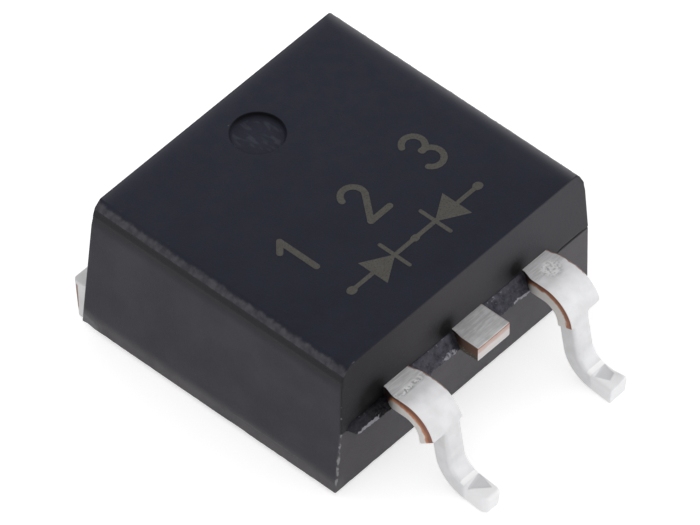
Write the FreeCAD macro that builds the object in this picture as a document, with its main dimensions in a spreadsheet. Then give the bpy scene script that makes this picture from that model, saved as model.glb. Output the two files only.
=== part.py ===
import FreeCAD, Part
import math
import os

import Sketcher
from FreeCAD import Vector

# Surface-mount schottky rectifier with two anode leads and a common cathode tab. Millimetres.
# The solder face of the tab lies on Z = 0, the leads point to -Y and the tab stands out at +Y.
# The origin is the middle of the whole outline, on the solder face.

doc = FreeCAD.newDocument("SchottkyRectifier")

# Driving dimensions: millimetres, and degrees where the note says so

SIZES = [
    ("body_width", 10.05, "width of the moulded body at its underside"),
    ("body_length", 9.16, "from the front parting edge to the lower back edge"),
    ("body_height", 4.6, "from the underside of the body to its top"),
    ("standoff", 0.15, "solder face below the underside of the body"),
    ("side_draft", 3.2, "draft of both sides, degrees"),
    ("front_draft", 2.25, "draft of the front above and below the parting line, degrees"),
    ("back_draft", 3.35, "draft of the back, degrees"),
    ("corner_round", 0.04, "radius of the upright corners"),
    ("rim_inset", 0.27, "top face edge inside the drafted side"),
    ("rim_chamfer", 0.21, "width and drop of the rim's bevel"),
    ("neck_depth", 0.56, "drop of the smooth band below the rim"),
    ("neck_step", 0.03, "depth of the smooth band behind the side"),
    ("neck_ramp", 0.14, "height over which the band runs out"),
    ("parting_step", 0.01, "upper mould half proud of the lower one at the front"),
    ("pin_mark_diameter", 1.55, "round ejector mark in the top"),
    ("pin_mark_depth", 0.18, "depth of the ejector mark"),
    ("pin_mark_reach", 7.37, "front parting edge to the middle of the ejector mark"),
    ("lead_level", 2.29, "underside of the leads above the underside of the body"),
    ("lead_thickness", 0.52, "sheet thickness of leads and strap"),
    ("lead_pitch", 2.54, "middle of the part to the middle of a leg"),
    ("leg_width", 0.64, "width of the narrow leg and foot"),
    ("shoulder_inside", 0.08, "shoulder beyond the leg, towards the middle"),
    ("shoulder_outside", 0.47, "shoulder beyond the leg, outwards"),
    ("exit_taper", 0.1, "narrowing of each side of an anode lead at the body"),
    ("taper_length", 0.43, "reach of that narrowing out of the body"),
    ("flat_reach", 0.81, "flat of a lead outside the body, up to the bend"),
    ("bend_radius", 0.5, "inside radius of the first bend"),
    ("leg_lean", 9.5, "lean of the leg out of the upright, degrees"),
    ("foot_radius", 0.6, "inside radius of the bend above the foot"),
    ("foot_slope", 6.0, "slope of the foot down to its tip, degrees"),
    ("foot_reach", 3.28, "front parting edge to the foot's tip"),
    ("shoulder_turn", 73.0, "turn of the first bend at which the shoulder ends, degrees"),
    ("step_round", 0.12, "radius in the corner below the shoulder"),
    ("stub_width", 1.22, "width of the cut-off middle lead"),
    ("stub_reach", 0.95, "middle lead out of the front parting edge"),
    ("stub_taper", 0.06, "narrowing of each side of the middle lead at the body"),
    ("post_gap", 0.35, "strap to bond post"),
    ("post_margin", 0.2, "bond post beyond the shoulder"),
    ("post_cover", 0.4, "front of the body to the bond post"),
    ("post_depth", 1.1, "bond post from front to back"),
    ("anchor_diameter", 0.45, "hole through a bond post that the moulding fills"),
    ("tab_thickness", 1.4, "thickness of the heat spreader"),
    ("tab_reach", 0.44, "tab out of the lower back edge"),
    ("tab_inset", 0.13, "tab inside the side of the body"),
    ("tab_embed", 0.5, "wide part of the tab inside the body"),
    ("tab_corner", 0.1, "bevel of the tab's outer corners"),
    ("plate_setback", 1.7, "front of the body to the heat spreader"),
    ("plate_margin", 0.5, "heat spreader beyond the outer edge of a die"),
    ("lock_step", 0.2, "ledge along the heat spreader's edge that holds the moulding"),
    ("lock_height", 0.5, "thickness of that ledge"),
    ("strap_run", 0.5, "flat strap between the heat spreader and its rise"),
    ("strap_rise", 60.0, "slope of the strap up to the lead level, degrees"),
    ("strap_radius", 0.15, "inside radius of the strap's bends"),
    ("die_gap", 1.2, "gap between the two dies"),
    ("die_size", 2.6, "side of a square die"),
    ("die_thickness", 0.28, "thickness of a die"),
    ("die_setback", 0.8, "front of the heat spreader to a die"),
    ("solder_thickness", 0.06, "solder under a die"),
    ("solder_margin", 0.1, "solder beyond the die"),
    ("wire_diameter", 0.38, "bond wire"),
    ("wire_spacing", 1.0, "between the two wires of a die"),
    ("wire_squash", 0.05, "flattening of a wire at its bonds"),
    ("wire_bond", 0.7, "length of wire on the post and on the die"),
    ("wire_inset", 0.7, "front edge of the die to the bond on it"),
    ("wire_rise", 0.6, "crest of the wire above its bond on the post"),
    ("wire_crest", 0.34, "share of the way from post to die at which the crest stands"),
    ("wire_bend", 0.4, "radius of the wire's bends"),
    ("flash_reach", 0.36, "flash between the leads out of the front"),
    ("flash_height", 0.44, "height of that flash at the front, from which its torn face slopes down"),
    ("flash_lip", 0.05, "height of that flash at its full reach"),
    ("flash_outer_height", 0.22, "thickness of the flash beside the left lead"),
]

sheet = doc.addObject("Spreadsheet::Sheet", "Size")
for row, (alias, size, note) in enumerate(SIZES, start=1):
    sheet.set(f"A{row}", note)
    sheet.set(f"B{row}", str(size))
    sheet.setAlias(f"B{row}", alias)
doc.recompute()

# Places worked out from the driving dimensions

FRONT = "((Size.foot_reach - Size.body_length - Size.tab_reach) / 2)"
BACK = f"({FRONT} + Size.body_length)"
TOP = "(Size.standoff + Size.body_height)"
LEAD_BASE = "(Size.standoff + Size.lead_level)"
LEAD_TOP = f"({LEAD_BASE} + Size.lead_thickness)"

LEG_INNER = "(Size.lead_pitch - Size.leg_width / 2)"
LEG_OUTER = "(Size.lead_pitch + Size.leg_width / 2)"
SHOULDER_INNER = f"({LEG_INNER} - Size.shoulder_inside)"
SHOULDER_OUTER = f"({LEG_OUTER} + Size.shoulder_outside)"

PLATE_FRONT = f"({FRONT} + Size.plate_setback)"
PLATE_HALF = "(Size.die_gap / 2 + Size.die_size + Size.plate_margin)"
DIE_FRONT = f"({PLATE_FRONT} + Size.die_setback)"
DIE_BASE = "(Size.tab_thickness + Size.solder_thickness)"
DIE_TOP = f"({DIE_BASE} + Size.die_thickness)"

POST_INNER = "(Size.stub_width / 2 + Size.post_gap)"
POST_OUTER = f"({SHOULDER_OUTER} + Size.post_margin)"
POST_FRONT = f"({FRONT} + Size.post_cover)"

# How far tools that only cut reach past the solid
SPARE = 1.0


def value(expression):
    """Number that an expression over the sheet gives now."""
    return float(sheet.evalExpression(expression))


def new_body(label):
    body = doc.addObject("PartDesign::Body", label)
    body.Label = label
    return body


def new_sketch(body, name, plane, height="0"):
    """Sketch of a body on one of its origin planes, at a height along that plane's normal."""
    sketch = body.newObject("Sketcher::SketchObject", name)
    origin_plane = next(item for item in body.Origin.OriginFeatures if item.Role == plane)
    sketch.AttachmentSupport = [(origin_plane, "")]
    sketch.MapMode = "FlatFace"
    sketch.setExpression(".AttachmentOffset.Base.z", height)
    doc.recompute()
    return sketch


def bind(sketch, kind, geometry, point, expression):
    """Ties one coordinate of a point of a sketch to an expression, counted from the sketch's origin."""
    index = sketch.addConstraint(Sketcher.Constraint(kind, -1, 1, geometry, point, value(expression)))
    sketch.setExpression(f"Constraints[{index}]", expression)


def polygon(sketch, corners):
    """Closed outline whose corners are pairs of expressions."""
    points = [Vector(value(x), value(y), 0) for x, y in corners]
    first = sketch.GeometryCount
    count = len(points)
    for start, end in zip(points, points[1:] + points[:1]):
        sketch.addGeometry(Part.LineSegment(start, end), False)
    for k in range(count):
        after = first + (k + 1) % count
        sketch.addConstraint(Sketcher.Constraint("Coincident", first + k, 2, after, 1))
    for k, (x, y) in enumerate(corners):
        bind(sketch, "DistanceX", first + k, 1, x)
        bind(sketch, "DistanceY", first + k, 1, y)


def circle(sketch, x, y, diameter):
    radius = value(diameter) / 2
    index = sketch.addGeometry(Part.Circle(Vector(value(x), value(y), 0), Vector(0, 0, 1), radius), False)
    bind(sketch, "DistanceX", index, 3, x)
    bind(sketch, "DistanceY", index, 3, y)
    size = sketch.addConstraint(Sketcher.Constraint("Diameter", index, 2 * radius))
    sketch.setExpression(f"Constraints[{size}]", diameter)


def pad(body, sketch, length, both_ways=False):
    feature = body.newObject("PartDesign::Pad", sketch.Name + "_pad")
    feature.Profile = sketch
    feature.SideType = "Symmetric" if both_ways else "One side"
    feature.setExpression("Length", length)
    sketch.Visibility = False
    doc.recompute()
    return feature


def pocket(body, sketch, length, both_ways=False, along_normal=False):
    feature = body.newObject("PartDesign::Pocket", sketch.Name + "_cut")
    feature.Profile = sketch
    feature.SideType = "Symmetric" if both_ways else "One side"
    feature.Reversed = along_normal
    feature.setExpression("Length", length)
    sketch.Visibility = False
    doc.recompute()
    return feature


def soften(body, name, kind, picks, size):
    """Fillet or chamfer on the edges of a body's last shape that a test picks."""
    base = body.Tip
    names = [f"Edge{n}" for n, edge in enumerate(base.Shape.Edges, start=1) if picks(edge)]
    feature = body.newObject(f"PartDesign::{kind}", name)
    feature.Base = (base, names)
    feature.setExpression("Radius" if kind == "Fillet" else "Size", size)
    doc.recompute()
    return feature


def near(a, b):
    return abs(a - b) < 1e-4


def edge_on(y, z):
    """Picks the edges along X at one place of the side view."""
    y, z = value(y), value(z)
    return lambda edge: all(near(v.Point.y, y) and near(v.Point.z, z) for v in edge.Vertexes)


def opposite(corners):
    """The same corners on the other side of the middle plane, in the opposite order."""
    return [(f"-({x})", y) for x, y in reversed(corners)]


# Moulded body, still without room for what it holds


def side_at(drop):
    """Half width between the drafted sides at a drop below the top."""
    return f"(Size.body_width / 2 - (Size.body_height - ({drop})) * tan(Size.side_draft))"


def make_blank():
    """Drafted block with round corners, a band below each rim, an ejector mark and the flash."""
    body = new_body("mould_blank")
    below = f"(Size.standoff - {SPARE})"
    above = f"({TOP} + {SPARE})"
    front_draft, back_draft = "tan(Size.front_draft)", "tan(Size.back_draft)"

    section = new_sketch(body, "mould_section", "XZ_Plane")
    right = [("Size.body_width / 2", "Size.standoff"), (side_at("0"), TOP)]
    polygon(section, right + opposite(right))
    pad(body, section, "2 * Size.body_length", both_ways=True)

    ends = new_sketch(body, "mould_ends", "YZ_Plane")
    polygon(ends, [
        (f"{FRONT} + (Size.lead_level + {SPARE}) * {front_draft}", below),
        (FRONT, LEAD_BASE),
        (f"{FRONT} + (Size.body_height - Size.lead_level + {SPARE}) * {front_draft}", above),
        (f"{FRONT} - Size.body_length", above),
        (f"{FRONT} - Size.body_length", below),
    ])
    polygon(ends, [
        (f"{BACK} + {SPARE} * {back_draft}", below),
        (f"{BACK} + Size.body_length", below),
        (f"{BACK} + Size.body_length", above),
        (f"{BACK} - (Size.body_height + {SPARE}) * {back_draft}", above),
    ])
    pocket(body, ends, f"Size.body_width + {SPARE}", both_ways=True)

    shortest = min(value("Size.lead_level"), value("Size.body_height - Size.lead_level")) / 2

    def is_upright(edge):
        first, last = edge.Vertexes[0].Point, edge.Vertexes[-1].Point
        return abs(first.z - last.z) > shortest

    soften(body, "mould_corners", "Fillet", is_upright, "Size.corner_round")

    step = new_sketch(body, "parting_ledge", "YZ_Plane")
    polygon(step, [
        (FRONT, LEAD_BASE),
        (f"{FRONT} + Size.parting_step", LEAD_BASE),
        (f"{FRONT} + Size.parting_step + (Size.lead_level + {SPARE}) * {front_draft}", below),
        (f"{FRONT} - {SPARE}", below),
        (f"{FRONT} - {SPARE}", LEAD_BASE),
    ])
    pocket(body, step, f"Size.body_width + {SPARE}", both_ways=True)

    band = new_sketch(body, "mould_bands", "XZ_Plane")
    rim = f"({side_at('0')} - Size.rim_inset)"
    neck_end = "(Size.neck_depth + Size.neck_ramp)"
    outside = f"(Size.body_width / 2 + {SPARE})"
    right = [
        (rim, TOP),
        (f"{rim} + Size.rim_chamfer", f"{TOP} - Size.rim_chamfer"),
        (f"{side_at('Size.neck_depth')} - Size.neck_step", f"{TOP} - Size.neck_depth"),
        (side_at(neck_end), f"{TOP} - {neck_end}"),
        (outside, f"{TOP} - {neck_end}"),
        (outside, above),
        (rim, above),
    ]
    polygon(band, right)
    polygon(band, opposite(right))
    pocket(body, band, "3 * Size.body_length", both_ways=True)

    mark = new_sketch(body, "ejector_mark", "XY_Plane", TOP)
    circle(mark, "0", f"{FRONT} + Size.pin_mark_reach", "Size.pin_mark_diameter")
    pocket(body, mark, "Size.pin_mark_depth")
    add_flash(body)
    return body


def add_flash(body):
    """Moulding squeezed out between the leads, which broke off unevenly when they were trimmed."""
    root = f"({FRONT} + Size.post_cover / 2)"

    def strip(name, start, span, broken, height):
        """Flash from start along span: pairs of a share of the span and of the full reach."""
        sketch = new_sketch(body, name, "XY_Plane", LEAD_BASE)
        edge = []
        for along, reach in broken:
            edge.append((f"{start} + {along} * {span}", f"{FRONT} - {reach} * Size.flash_reach"))
        polygon(sketch, edge + [(edge[-1][0], root), (edge[0][0], root)])
        pad(body, sketch, height)

    stub_side = "Size.stub_width / 2"
    gap = f"({SHOULDER_INNER} - {stub_side})"
    right_edge = [(0, 0.95), (0.15, 0.8), (0.3, 1.0), (0.46, 0.7), (0.62, 0.85), (0.8, 0.65), (1, 0.9)]
    left_edge = [(0, 0.85), (0.12, 1.0), (0.3, 0.75), (0.5, 0.9), (0.66, 0.6), (0.84, 0.8), (1, 1.0)]
    outer_edge = [(-0.05, 0.7), (0.3, 1.0), (0.55, 0.75), (0.8, 0.35), (0.92, 0.1)]
    outer_span = f"(Size.body_width / 2 - {SHOULDER_OUTER})"
    strip("flash_right", stub_side, gap, right_edge, "Size.flash_height")
    strip("flash_left", f"-{stub_side}", f"(-{gap})", left_edge, "Size.flash_height")
    strip("flash_outer", f"-{SHOULDER_OUTER}", f"(-{outer_span})", outer_edge, "Size.flash_outer_height")

    lip, above = f"({LEAD_BASE} + Size.flash_lip)", f"({TOP} + {SPARE})"
    beyond = f"({FRONT} - Size.flash_reach - {SPARE})"
    slope = new_sketch(body, "flash_slope", "YZ_Plane")
    polygon(slope, [
        (FRONT, f"{LEAD_BASE} + Size.flash_height"),
        (FRONT, above),
        (beyond, above),
        (beyond, lip),
        (f"{FRONT} - Size.flash_reach", lip),
    ])
    pocket(body, slope, f"Size.body_width + {SPARE}", both_ways=True)


# Metal pieces


def taper_plan(side, taper, sign=""):
    """Sliver beside a lead that narrows it at the body, from its full side and the sign of its outside."""
    full, narrow = side, f"{side} - ({sign}{taper})"
    outside = f"{side} + ({sign}{taper})"
    deep = f"{FRONT} + Size.post_cover / 2"
    tip = f"{FRONT} - Size.taper_length"
    return [(full, tip), (narrow, FRONT), (narrow, deep), (outside, deep), (outside, tip)]


def make_heat_spreader():
    """Copper heat spreader with the cathode tab and the cut-off middle lead, one piece."""
    body = new_body("heat_spreader")
    tab_half = "(Size.body_width / 2 - Size.tab_inset)"
    tab_front = f"({BACK} - Size.tab_embed)"
    tab_back = f"({BACK} + Size.tab_reach)"
    plan = new_sketch(body, "spreader_plan", "XY_Plane")
    right = [
        (PLATE_HALF, PLATE_FRONT),
        (PLATE_HALF, tab_front),
        (tab_half, tab_front),
        (tab_half, tab_back),
    ]
    polygon(plan, right + opposite(right))
    pad(body, plan, "Size.tab_thickness")

    half, back = value(tab_half), value(tab_back)

    def is_tab_corner(edge):
        return all(near(abs(v.Point.x), half) and near(v.Point.y, back) for v in edge.Vertexes)

    soften(body, "tab_bevels", "Chamfer", is_tab_corner, "Size.tab_corner")

    ledge = new_sketch(body, "lock_ledge", "XY_Plane", "Size.tab_thickness - Size.lock_height")
    ledge_half = f"{PLATE_HALF} + Size.lock_step"
    right = [
        (ledge_half, f"{PLATE_FRONT} - Size.lock_step"),
        (ledge_half, f"{tab_front} + Size.tab_embed / 2"),
    ]
    polygon(ledge, right + opposite(right))
    pad(body, ledge, "Size.lock_height")
    add_strap(body)
    return body


def add_strap(body):
    """Strap that rises from the heat spreader to the lead level and leaves the body as the middle lead."""
    flat = "(Size.tab_thickness - Size.lead_thickness)"
    run = f"(({LEAD_BASE} - {flat}) / tan(Size.strap_rise))"
    turn = "(Size.lead_thickness * tan(Size.strap_rise / 2))"
    low = f"({PLATE_FRONT} - Size.strap_run)"
    high = f"({low} - {run})"
    end = f"({FRONT} - Size.stub_reach)"
    inside = f"({PLATE_FRONT} + Size.die_setback / 2)"
    over_low, over_high = f"{low} + {turn}", f"{high} + {turn}"
    side = new_sketch(body, "strap_side", "YZ_Plane")
    polygon(side, [
        (inside, flat),
        (low, flat),
        (high, LEAD_BASE),
        (end, LEAD_BASE),
        (end, LEAD_TOP),
        (over_high, LEAD_TOP),
        (over_low, "Size.tab_thickness"),
        (inside, "Size.tab_thickness"),
    ])
    pad(body, side, "Size.stub_width", both_ways=True)

    outer_radius = "Size.strap_radius + Size.lead_thickness"
    soften(body, "strap_low_outer", "Fillet", edge_on(low, flat), outer_radius)
    soften(body, "strap_high_inner", "Fillet", edge_on(high, LEAD_BASE), "Size.strap_radius")
    soften(body, "strap_high_outer", "Fillet", edge_on(over_high, LEAD_TOP), outer_radius)
    soften(body, "strap_low_inner", "Fillet", edge_on(over_low, "Size.tab_thickness"), "Size.strap_radius")

    taper = new_sketch(body, "stub_taper", "XY_Plane", LEAD_TOP)
    right = taper_plan("Size.stub_width / 2", "Size.stub_taper")
    polygon(taper, right)
    polygon(taper, opposite(right))
    pocket(body, taper, "Size.lead_thickness")


def make_anode_lead():
    """Right-hand gull-wing lead: bond post, wide shoulder, narrow leg and foot."""
    body = new_body("anode_lead_right")
    lean, slope = "tan(Size.leg_lean)", "tan(Size.foot_slope)"
    sheet_thick = "Size.lead_thickness"
    outer_radius = f"(Size.bend_radius + {sheet_thick})"
    bend = f"({FRONT} - Size.flat_reach)"
    back_of_leg = f"({sheet_thick} / cos(Size.leg_lean))"

    knee = f"({bend} - {outer_radius} * tan(45 - Size.leg_lean / 2))"
    tip = f"({FRONT} - Size.foot_reach + {sheet_thick} * sin(Size.foot_slope))"
    rise = f"({sheet_thick} / cos(Size.foot_slope))"
    ankle_drop = f"(({LEAD_TOP} - {rise} - ({knee} - {tip}) * {slope}) / (1 - {lean} * {slope}))"
    heel_drop = f"(({LEAD_TOP} - ({knee} + {back_of_leg} - {tip}) * {slope}) / (1 - {lean} * {slope}))"
    ankle = (f"{knee} - {ankle_drop} * {lean}", f"{LEAD_TOP} - {ankle_drop}")
    heel = (f"{knee} + {back_of_leg} - {heel_drop} * {lean}", f"{LEAD_TOP} - {heel_drop}")
    inner_knee = (f"{knee} + {back_of_leg} - {sheet_thick} * {lean}", LEAD_BASE)
    start = f"({POST_FRONT} + Size.post_depth / 2)"

    side = new_sketch(body, "lead_side", "YZ_Plane", SHOULDER_INNER)
    polygon(side, [
        (start, LEAD_TOP),
        (knee, LEAD_TOP),
        ankle,
        (f"{FRONT} - Size.foot_reach", f"{sheet_thick} * cos(Size.foot_slope)"),
        (tip, "0"),
        heel,
        inner_knee,
        (start, LEAD_BASE),
    ])
    pad(body, side, f"{SHOULDER_OUTER} - {SHOULDER_INNER}")

    soften(body, "bend_outer", "Fillet", edge_on(knee, LEAD_TOP), outer_radius)
    soften(body, "bend_inner", "Fillet", edge_on(*inner_knee), "Size.bend_radius")
    soften(body, "foot_inner", "Fillet", edge_on(*ankle), "Size.foot_radius")
    soften(body, "foot_outer", "Fillet", edge_on(*heel), f"Size.foot_radius + {sheet_thick}")

    centre = (bend, f"({LEAD_TOP} - {outer_radius})")
    reach = f"({outer_radius} + {SPARE} / 2)"
    outside = f"{FRONT} - Size.foot_reach - {SPARE}"
    beyond_shoulder = [
        centre,
        (f"{bend} - {reach} * sin(Size.shoulder_turn)", f"{centre[1]} + {reach} * cos(Size.shoulder_turn)"),
        (outside, f"{centre[1]} + {reach} * cos(Size.shoulder_turn)"),
        (outside, f"-{SPARE}"),
        (bend, f"-{SPARE}"),
    ]
    outer_leg = new_sketch(body, "leg_outer_side", "YZ_Plane", LEG_OUTER)
    polygon(outer_leg, beyond_shoulder)
    pocket(body, outer_leg, f"Size.shoulder_outside + {SPARE}", along_normal=True)
    inner_leg = new_sketch(body, "leg_inner_side", "YZ_Plane", LEG_INNER)
    polygon(inner_leg, beyond_shoulder)
    pocket(body, inner_leg, f"Size.shoulder_inside + {SPARE}")

    leg_side = value(LEG_OUTER)

    def is_step_corner(edge):
        on_side = all(near(v.Point.x, leg_side) for v in edge.Vertexes)
        middle = value(centre[1])
        turned = all(v.Point.z > middle for v in edge.Vertexes)
        return on_side and turned and near(edge.Length, value(sheet_thick))

    soften(body, "step_round", "Fillet", is_step_corner, "Size.step_round")

    taper = new_sketch(body, "exit_taper_plan", "XY_Plane", LEAD_TOP)
    polygon(taper, taper_plan(SHOULDER_OUTER, "Size.exit_taper"))
    polygon(taper, taper_plan(SHOULDER_INNER, "Size.exit_taper", sign="-"))
    pocket(body, taper, sheet_thick)

    post = new_sketch(body, "bond_post", "XY_Plane", LEAD_BASE)
    polygon(post, [
        (POST_INNER, POST_FRONT),
        (POST_OUTER, POST_FRONT),
        (POST_OUTER, f"{POST_FRONT} + Size.post_depth"),
        (POST_INNER, f"{POST_FRONT} + Size.post_depth"),
    ])
    pad(body, post, sheet_thick)

    anchor = new_sketch(body, "anchor_hole", "XY_Plane", LEAD_TOP)
    anchor_x = f"({SHOULDER_OUTER} + Size.lead_pitch) / 2"
    anchor_y = f"{POST_FRONT} + Size.post_depth / 2"
    circle(anchor, anchor_x, anchor_y, "Size.anchor_diameter")
    pocket(body, anchor, sheet_thick)
    return body


# Dies, their solder and the bond wires


def make_slab(label, margin, base, thickness):
    """Square slab at the place of the right-hand die, wider than it by a margin all round."""
    slab = doc.addObject("Part::Box", label)
    slab.Label = label
    slab.setExpression("Length", f"Size.die_size + 2 * {margin}")
    slab.setExpression("Width", f"Size.die_size + 2 * {margin}")
    slab.setExpression("Height", thickness)
    slab.setExpression(".Placement.Base.x", f"Size.die_gap / 2 - {margin}")
    slab.setExpression(".Placement.Base.y", f"{DIE_FRONT} - {margin}")
    slab.setExpression(".Placement.Base.z", base)
    return slab


def make_wire(label, offset):
    """Bond wire from the post over a crest down to the die, flattened where it is bonded."""
    body = new_body(label)
    place = f"(Size.die_gap / 2 + Size.die_size / 2 + ({offset}))"
    lift = "(Size.wire_diameter / 2 - Size.wire_squash)"
    post_end = f"({POST_FRONT} + Size.post_depth - Size.wire_diameter / 2)"
    bond_start = f"({DIE_FRONT} + Size.wire_inset)"
    post_level, die_level = f"({LEAD_TOP} + {lift})", f"({DIE_TOP} + {lift})"
    crest_y = f"({post_end} + ({bond_start} - {post_end}) * Size.wire_crest)"
    crest = (crest_y, f"({post_level} + Size.wire_rise)")
    route = [
        (f"({post_end} - Size.wire_bond)", post_level),
        (post_end, post_level),
        crest,
        (bond_start, die_level),
        (f"({bond_start} + Size.wire_bond)", die_level),
    ]
    path = new_sketch(body, f"{label}_path", "YZ_Plane", place)
    rounded_line(path, route, "Size.wire_bend")
    section = new_sketch(body, f"{label}_section", "XZ_Plane", f"-({route[0][0]})")
    circle(section, place, post_level, "Size.wire_diameter")
    doc.recompute()
    sweep = body.newObject("PartDesign::AdditivePipe", f"{label}_sweep")
    sweep.Profile = section
    sweep.Spine = (path, [f"Edge{n}" for n in range(1, len(path.Shape.Edges) + 1)])
    doc.recompute()

    foot = new_sketch(body, f"{label}_feet", "YZ_Plane", place)
    depth = "Size.wire_diameter"
    polygon(foot, [
        (f"{route[0][0]} - {depth}", LEAD_TOP),
        (f"{route[0][0]} - {depth}", f"{LEAD_TOP} - {depth}"),
        (f"{post_end} + {depth} / 2", f"{LEAD_TOP} - {depth}"),
        (f"{post_end} + {depth} / 2", LEAD_TOP),
    ])
    polygon(foot, [
        (f"{bond_start} - {depth}", DIE_TOP),
        (f"{bond_start} - {depth}", f"{DIE_TOP} - {depth}"),
        (f"{route[-1][0]} + {depth}", f"{DIE_TOP} - {depth}"),
        (f"{route[-1][0]} + {depth}", DIE_TOP),
    ])
    pocket(body, foot, "2 * Size.wire_diameter", both_ways=True)
    return body


def rounded_line(sketch, route, radius):
    """Open line through a route whose inner corners are arcs, each tied to its corner point."""
    points = [Vector(value(x), value(y), 0) for x, y in route]
    bend = value(radius)
    stops = [points[0]]
    arcs = []
    for before, corner, after in zip(points, points[1:], points[2:]):
        back, ahead = (before - corner).normalize(), (after - corner).normalize()
        half_turn = back.getAngle(ahead) / 2
        cut = bend / math.tan(half_turn)
        inward = (back + ahead).normalize()
        deep = corner + inward * (bend / math.sin(half_turn) - bend)
        turns_left = ahead.cross(back).z > 0
        arcs.append((corner + back * cut, deep, corner + ahead * cut, turns_left))
        stops += [corner + back * cut, corner + ahead * cut]
    stops.append(points[-1])
    lines = [sketch.addGeometry(Part.LineSegment(a, b), False) for a, b in zip(stops[0::2], stops[1::2])]
    for k, (start, deep, end, turns_left) in enumerate(arcs):
        first, last = (1, 2) if turns_left else (2, 1)
        if not turns_left:
            start, end = end, start
        arc = sketch.addGeometry(Part.Arc(start, deep, end), False)
        sketch.addConstraint(Sketcher.Constraint("Tangent", lines[k], 2, arc, first))
        sketch.addConstraint(Sketcher.Constraint("Tangent", lines[k + 1], 1, arc, last))
        size = sketch.addConstraint(Sketcher.Constraint("Radius", arc, bend))
        sketch.setExpression(f"Constraints[{size}]", radius)
        corner = sketch.addGeometry(Part.Point(points[k + 1]), True)
        bind(sketch, "DistanceX", corner, 1, route[k + 1][0])
        bind(sketch, "DistanceY", corner, 1, route[k + 1][1])
        sketch.addConstraint(Sketcher.Constraint("PointOnObject", corner, 1, lines[k]))
        sketch.addConstraint(Sketcher.Constraint("PointOnObject", corner, 1, lines[k + 1]))
    for line, point, (x, y) in ((lines[0], 1, route[0]), (lines[-1], 2, route[-1])):
        bind(sketch, "DistanceX", line, point, x)
        bind(sketch, "DistanceY", line, point, y)


def make_left_copy(source, label):
    """Mirror image of a right-hand piece for the left half."""
    copy = doc.addObject("Part::Mirroring", label)
    copy.Label = label
    copy.Source = source
    copy.Base = Vector(0, 0, 0)
    copy.Normal = Vector(1, 0, 0)
    return copy


def make_right_pieces():
    """Lead, die, solder and wires of the right-hand diode."""
    return [
        make_anode_lead(),
        make_slab("die_right", "0", DIE_BASE, "Size.die_thickness"),
        make_slab("die_solder_right", "Size.solder_margin", "Size.tab_thickness", "Size.solder_thickness"),
        make_wire("bond_wire_right_outer", "Size.wire_spacing / 2"),
        make_wire("bond_wire_right_inner", "-Size.wire_spacing / 2"),
    ]


def make_mould(blank, contents):
    """Moulded body that closes on everything it holds."""
    held = doc.addObject("Part::MultiFuse", "held_pieces")
    held.Shapes = contents
    mould = doc.addObject("Part::Cut", "mould_body")
    mould.Label = "mould_body"
    mould.Base = blank
    mould.Tool = held
    return mould


spreader = make_heat_spreader()
right_pieces = make_right_pieces()
left_pieces = [make_left_copy(piece, piece.Label.replace("right", "left")) for piece in right_pieces]
contents = [spreader] + right_pieces + left_pieces
mould = make_mould(make_blank(), contents)
doc.recompute()

# Every object is up to date and every piece is one valid solid before anything is written

for item in doc.Objects:
    if "Invalid" in item.State or "Error" in item.State:
        raise RuntimeError(f"{item.Label} failed: {item.State}")
nodes = [mould] + contents
for node in nodes:
    if node.Shape.isNull() or not node.Shape.isValid() or len(node.Shape.Solids) != 1:
        raise RuntimeError(f"{node.Label} isn't one valid solid")

os.makedirs("parts", exist_ok=True)
for node in nodes:
    node.Shape.exportStep(f"parts/{node.Label}.step")
    print(f"{node.Label}: {node.Shape.Volume:.4f} mm3")
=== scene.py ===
from math import atan2, copysign, cos, degrees, dist, exp, hypot, pi, radians, sin, sqrt, tan

import bmesh
import bpy
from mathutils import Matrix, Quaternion, Vector, noise


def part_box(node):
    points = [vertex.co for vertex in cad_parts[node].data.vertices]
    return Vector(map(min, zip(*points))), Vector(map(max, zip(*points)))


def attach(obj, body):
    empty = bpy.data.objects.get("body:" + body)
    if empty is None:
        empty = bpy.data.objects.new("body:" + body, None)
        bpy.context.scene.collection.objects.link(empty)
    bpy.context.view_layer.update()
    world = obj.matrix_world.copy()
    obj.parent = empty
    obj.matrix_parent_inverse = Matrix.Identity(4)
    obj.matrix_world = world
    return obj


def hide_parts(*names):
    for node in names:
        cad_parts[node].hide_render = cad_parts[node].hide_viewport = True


# Surface-mount schottky rectifier: looks of the moulded body, the leads and the tab.
# Shapes are worked out in millimetres in the row frame and written as metres.

MM = 0.001

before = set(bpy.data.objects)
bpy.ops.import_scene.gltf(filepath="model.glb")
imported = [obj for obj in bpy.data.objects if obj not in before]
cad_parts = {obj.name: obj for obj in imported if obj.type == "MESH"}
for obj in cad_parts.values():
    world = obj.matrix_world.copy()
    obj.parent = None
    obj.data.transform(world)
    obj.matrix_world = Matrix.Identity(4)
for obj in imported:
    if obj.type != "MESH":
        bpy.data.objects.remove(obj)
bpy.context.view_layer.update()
scene = bpy.context.scene
scene.view_settings.view_transform = "Standard"

# Sizes of the part, millimetres and tangents of the drafts

BODY_LOW, BODY_HIGH = (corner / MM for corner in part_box("mould_body"))
PLATE_LOW, PLATE_HIGH = (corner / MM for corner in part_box("heat_spreader"))
LEAD_LOW, LEAD_HIGH = (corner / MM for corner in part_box("anode_lead_right"))

HALF_WIDTH = BODY_HIGH.x
UNDERSIDE = BODY_LOW.z
TOP = BODY_HIGH.z
BACK = BODY_HIGH.y
LEAD_TOP = LEAD_HIGH.z
SHEET = 0.52
LEAD_BASE = LEAD_TOP - SHEET
FOOT_TIP = LEAD_LOW.y
FOOT_REACH = 3.28
FRONT = FOOT_TIP + FOOT_REACH
SIDE_DRAFT = tan(radians(3.2))
FRONT_DRAFT = tan(radians(2.25))
BACK_DRAFT = tan(radians(3.35))


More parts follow.
